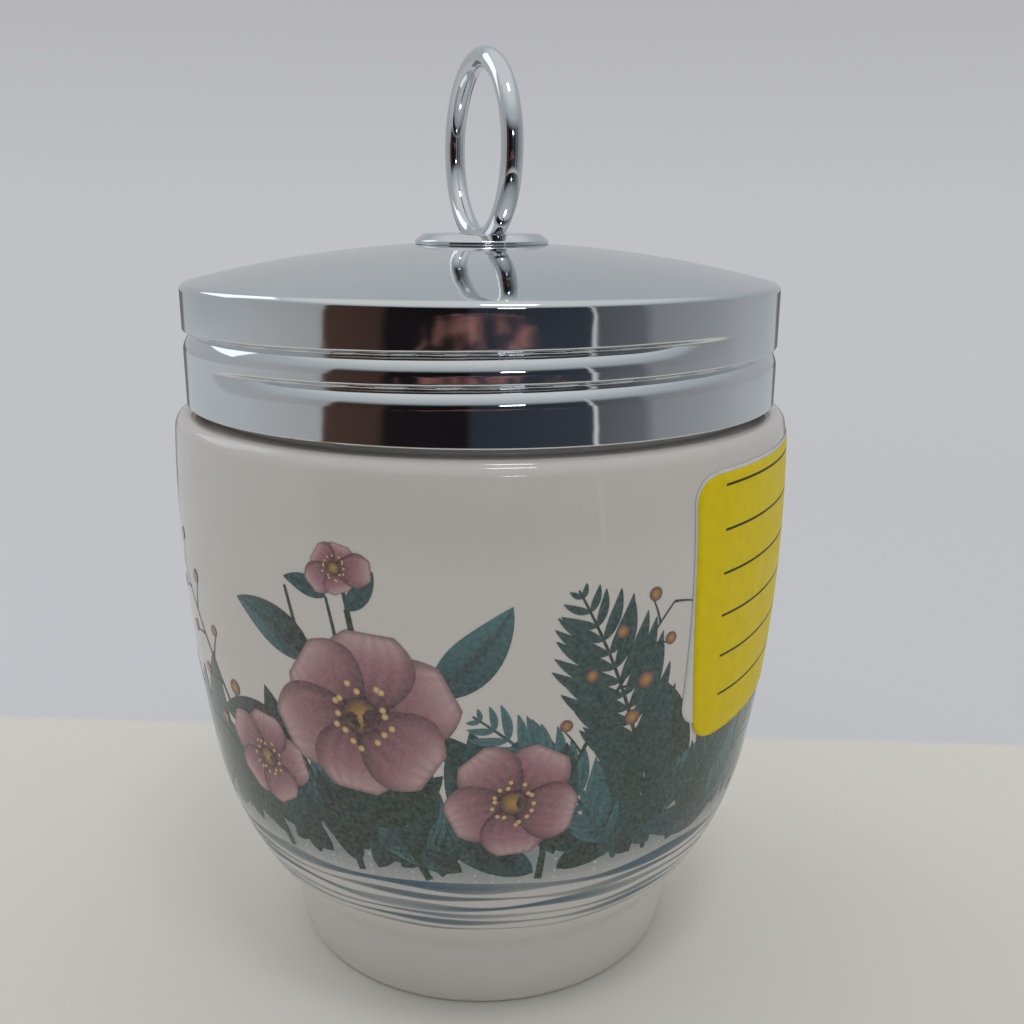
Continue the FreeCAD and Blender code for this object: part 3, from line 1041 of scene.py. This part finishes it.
def makeSheet(name, sheet, material):
    shape = bmesh.new()
    uvs = shape.loops.layers.uv.new("face")
    columns, rows = label["cells"]
    made = bmesh.ops.create_grid(shape, x_segments=columns, y_segments=rows, size=1)
    reach = max(vert.co.x for vert in made["verts"])
    halfWidth, halfHeight = (sheet["right"] - sheet["left"]) / 2, (sheet["high"] - sheet["low"]) / 2
    lean = math.radians(label["tilt"])
    flat = {}
    for vert in made["verts"]:
        x, y = vert.co.x / reach, vert.co.y / reach
        over = max(0, abs(y) * halfHeight - (halfHeight - sheet["corner"]))
        across = x * (halfWidth - sheet["corner"] + math.sqrt(max(0, sheet["corner"] ** 2 - over**2)))
        across += (sheet["right"] + sheet["left"]) / 2
        up = y * halfHeight + (sheet["high"] + sheet["low"]) / 2
        flat[vert.index] = (across - sheet["left"], up - sheet["low"])
        across += sheet["bend"] * max(0, sheet["bendFrom"] - up) ** 2 * (1 - x) / 2
        up += sheet["rise"] * max(0, across - sheet["riseFrom"]) * (1 - y) / 2
        side = across * math.cos(lean) - up * math.sin(lean)
        height = label["middle"] + across * math.sin(lean) + up * math.cos(lean)
        radius = cupRadius(height) + sheet["lift"]
        vert.co = (math.sqrt(radius**2 - side**2), side, height)
    for part in shape.faces:
        for loop in part.loops:
            loop[uvs].uv = flat[loop.vert.index]
    turn = Matrix.Rotation(math.radians(label["turn"]), 3, "Z")
    bmesh.ops.rotate(shape, cent=(0, 0, 0), matrix=turn, verts=shape.verts)
    bmesh.ops.recalc_face_normals(shape, faces=shape.faces)
    piece = finishPiece(name, shape, material, "cup", ["price_label"])
    thick = piece.modifiers.new("paper", "SOLIDIFY")
    thick.thickness = sheet["paper"] * mm
    thick.offset = 1
    return piece


paper = {
    "fibreScale": 700,
    "fibreStrength": 0.08,
    "fibreDepth": 0.0002,
    "glossScale": 300,
    "glossLow": 0.38,
    "glossHigh": 0.52,
    "line": tint(66, 62, 34),
    "refraction": 1.4,
    "shine": 0.25,
}


def addLines(tree, place, colour):
    parts = addParts(tree, place)
    beat = addMath(tree, "MODULO", parts["Y"], face["lineStep"])
    share = addMath(tree, "LESS_THAN", beat, face["lineWidth"])
    bounds = (
        ("GREATER_THAN", parts["X"], face["lineStart"]),
        ("LESS_THAN", parts["X"], face["lineEnd"]),
        ("GREATER_THAN", parts["Y"], face["lineStep"] / 2),
    )
    for test, value, limit in bounds:
        share = addMath(tree, "MULTIPLY", addMath(tree, test, value, limit), share)
    return addMix(tree, share, colour, paper["line"])


def makePaper(name, first, second, ruled):
    material, tree, shader = newMaterial(name, IOR=paper["refraction"], Specular_IOR_Level=paper["shine"])
    place = addPlace(tree, "Object")
    fibre = addMottle(tree, place, paper["fibreScale"], 0.0, 1.0)
    colour = addMix(tree, fibre, first, second)
    if ruled:
        colour = addLines(tree, addPlace(tree, "UV"), colour)
    tree.links.new(colour, shader.inputs["Base Color"])
    gloss = addMottle(tree, place, paper["glossScale"], paper["glossLow"], paper["glossHigh"])
    tree.links.new(gloss, shader.inputs["Roughness"])
    bump = addBump(tree, fibre, paper["fibreStrength"], paper["fibreDepth"])
    tree.links.new(bump, shader.inputs["Normal"])
    return material


makeSheet("labelBacking", backing, makePaper("whitePaper", tint(226, 225, 224), tint(218, 216, 214), False))
makeSheet("labelFace", face, makePaper("yellowPaper", tint(240, 216, 5), tint(232, 207, 4), True))
print("label stuck on")

# The table, the pale room behind it and the lamps
studio = {
    "tableSize": 4.0,
    "tableEnd": 0.0441,
    "tableSlant": 0.0795,
    "tableEdge": 0.002,
    "tableCells": 8,
    "table": tint(231, 229, 222),
    "wall": tint(220, 221, 226),
    "far": tint(192, 193, 197),
    "top": tint(181, 181, 185),
    "topReach": 0.17,
    "fadeStart": 0.1,
    "fadeFull": 0.45,
    "roomStart": 0.2,
    "roomFull": 0.27,
    "roomGain": 1.6,
    "cloth": tint(186, 132, 126),
    "clothStart": 0.44,
    "clothFull": 0.5,
    "clothReach": 0.26,
    "foldScale": 7.0,
    "foldLow": -0.9,
    "foldHigh": 1.3,
    "ceiling": tint(178, 185, 189),
    "zenith": tint(218, 220, 221),
    "zenithStart": 0.55,
    "zenithFull": 0.8,
    "ceilingStart": 0.3,
    "ceilingFull": 0.5,
    "ambientLow": 0.12,
    "ambientHigh": 0.76,
    "ambientStart": -0.4,
    "ambientFull": 0.9,
    "ambientLean": 0.5,
}
# What bright plate sees round about, degrees to the right of the photographer's place
roomStops = (
    (-180, tint(182, 185, 188)),
    (-95, tint(172, 175, 178)),
    (-58, tint(156, 158, 160)),
    (-56, tint(70, 54, 48)),
    (-36, tint(62, 47, 43)),
    (-33, tint(24, 22, 24)),
    (-6, tint(22, 20, 22)),
    (-3, tint(42, 46, 54)),
    (35, tint(54, 59, 67)),
    (38.3, tint(60, 64, 70)),
    (38.7, tint(205, 205, 205)),
    (39.9, tint(205, 205, 205)),
    (40.3, tint(84, 86, 90)),
    (58, tint(100, 103, 106)),
    (63, tint(132, 135, 138)),
    (92, tint(152, 155, 158)),
    (112, tint(168, 171, 175)),
    (180, tint(182, 185, 188)),
)
# Two darker uprights at the back that only low surfaces catch
backStops = (
    (-164, tint(180, 183, 186)),
    (-162, tint(104, 102, 104)),
    (-148, tint(112, 110, 112)),
    (-145, tint(176, 180, 184)),
    (145, tint(176, 180, 184)),
    (148, tint(112, 110, 112)),
    (162, tint(104, 102, 104)),
    (164, tint(180, 183, 186)),
)


def addRoom(tree, place, stops):
    parts = addParts(tree, place)
    turn = addMath(tree, "ARCTAN2", parts["X"], addMath(tree, "MULTIPLY", parts["Y"], -1.0))
    ramp = addNode(tree, "ShaderNodeValToRGB", {"Fac": addMap(tree, turn, -math.pi, math.pi)})
    elements = ramp.color_ramp.elements
    for degrees, colour in stops[1:-1]:
        elements.new((degrees + 180) / 360).color = colour
    elements[0].color = stops[0][1]
    elements[-1].color = stops[-1][1]
    return ramp.outputs["Color"]


# A reddish cloth in soft folds, far in front of the table, that only bright plate shows
def addCloth(tree, place, away):
    parts = addParts(tree, place)
    narrow = addMath(tree, "LESS_THAN", addMath(tree, "ABSOLUTE", parts["X"]), studio["clothReach"])
    front = addMath(tree, "LESS_THAN", parts["Y"], 0.0)
    folds = addMottle(tree, place, studio["foldScale"], studio["foldLow"], studio["foldHigh"])
    cloth = addMap(tree, away, studio["clothStart"], studio["clothFull"])
    for part in (narrow, front, folds):
        cloth = addMath(tree, "MULTIPLY", cloth, part, use_clamp=True)
    return cloth


def makeTableTop():
    material, tree, shader = newMaterial("tableTop", Roughness=0.7, Specular_IOR_Level=0.0)
    rays = addNode(tree, "ShaderNodeLightPath").outputs
    place = addPlace(tree, "Object")
    parts = addParts(tree, place)
    away = addNode(tree, "ShaderNodeVectorMath", {0: place}, operation="LENGTH").outputs["Value"]
    slant = addMath(tree, "MULTIPLY_ADD", parts["X"], studio["tableSlant"], parts["Y"])
    behind = addMap(tree, slant, studio["tableEnd"], studio["tableEnd"] + studio["tableEdge"])
    shown = addMix(tree, behind, studio["table"], studio["wall"])
    room = addRoom(tree, place, sorted(roomStops + backStops))
    room = addNode(tree, "ShaderNodeVectorMath", {0: room, "Scale": studio["roomGain"]}, operation="SCALE")
    near = addMap(tree, away, studio["roomStart"], studio["roomFull"])
    inRoom = addMix(tree, near, shown, room.outputs["Vector"])
    inRoom = addMix(tree, addCloth(tree, place, away), inRoom, studio["cloth"])
    reflected = addMix(tree, rays["Is Glossy Ray"], shown, inRoom)
    fade = addMap(tree, away, studio["fadeStart"], studio["fadeFull"])
    far = addMath(tree, "MULTIPLY", fade, rays["Is Camera Ray"])
    tree.links.new(addMix(tree, far, reflected, tint(0, 0, 0)), shader.inputs["Base Color"])
    shader.inputs["Emission Color"].default_value = studio["far"]
    tree.links.new(far, shader.inputs["Emission Strength"])
    return material


def makeTable():
    shape = bmesh.new()
    cells = studio["tableCells"]
    bmesh.ops.create_grid(shape, x_segments=cells, y_segments=cells, size=studio["tableSize"] / 2)
    data = bpy.data.meshes.new("table")
    shape.to_mesh(data)
    shape.free()
    data.materials.append(makeTableTop())
    table = bpy.data.objects.new("table", data)
    bpy.context.scene.collection.objects.link(table)


def makeWorld():
    world = bpy.data.worlds.new("room")
    bpy.context.scene.world = world
    world.use_nodes = True
    tree = world.node_tree
    rays = addNode(tree, "ShaderNodeLightPath").outputs
    direction = addPlace(tree, "Generated")
    parts = addParts(tree, direction)
    lift = addMath(tree, "MULTIPLY_ADD", parts["Y"], studio["ambientLean"], parts["Z"])
    ends = (studio["ambientStart"], studio["ambientFull"], studio["ambientLow"], studio["ambientHigh"])
    soft = addMap(tree, lift, *ends)
    above = addMap(tree, parts["Z"], studio["ceilingStart"], studio["ceilingFull"])
    overhead = addMap(tree, parts["Z"], studio["zenithStart"], studio["zenithFull"])
    ceiling = addMix(tree, overhead, studio["ceiling"], studio["zenith"])
    glossy = addMix(tree, above, addRoom(tree, direction, roomStops), ceiling)
    wall = addMix(tree, addMap(tree, parts["Z"], 0.0, studio["topReach"]), studio["far"], studio["top"])
    seen = addMix(tree, rays["Is Glossy Ray"], soft, glossy)
    shown = addMix(tree, rays["Is Camera Ray"], seen, wall)
    tree.links.new(shown, tree.nodes["Background"].inputs["Color"])


def addLamp(name, place, target, size, power, colour):
    data = bpy.data.lights.new(name, "AREA")
    data.shape = "RECTANGLE"
    data.size, data.size_y = size
    data.energy = power
    data.color = colour
    lamp = bpy.data.objects.new(name, data)
    bpy.context.scene.collection.objects.link(lamp)
    lamp.location = place
    lamp.rotation_mode = "QUATERNION"
    lamp.rotation_quaternion = (Vector(target) - Vector(place)).to_track_quat("-Z", "Y")


# Each lamp: its place, the point it faces, its size, its power and its colour
lamps = {
    "overhead": ((0.07, -0.2, 0.6), (0, 0, 0.06), (0.13, 0.08), 0.35, (1.0, 0.98, 0.96)),
    "window": ((-0.6, 0.35, 0.5), (0, 0, 0.05), (0.4, 0.4), 0.45, (0.94, 0.97, 1.0)),
    "front": ((0.14, -0.75, 0.3), (0, 0, 0.065), (0.12, 0.05), 0.16, (0.78, 0.87, 1.0)),
}

makeTable()
makeWorld()
for name, values in lamps.items():
    addLamp(name, *values)
print("table, room and lamps placed")
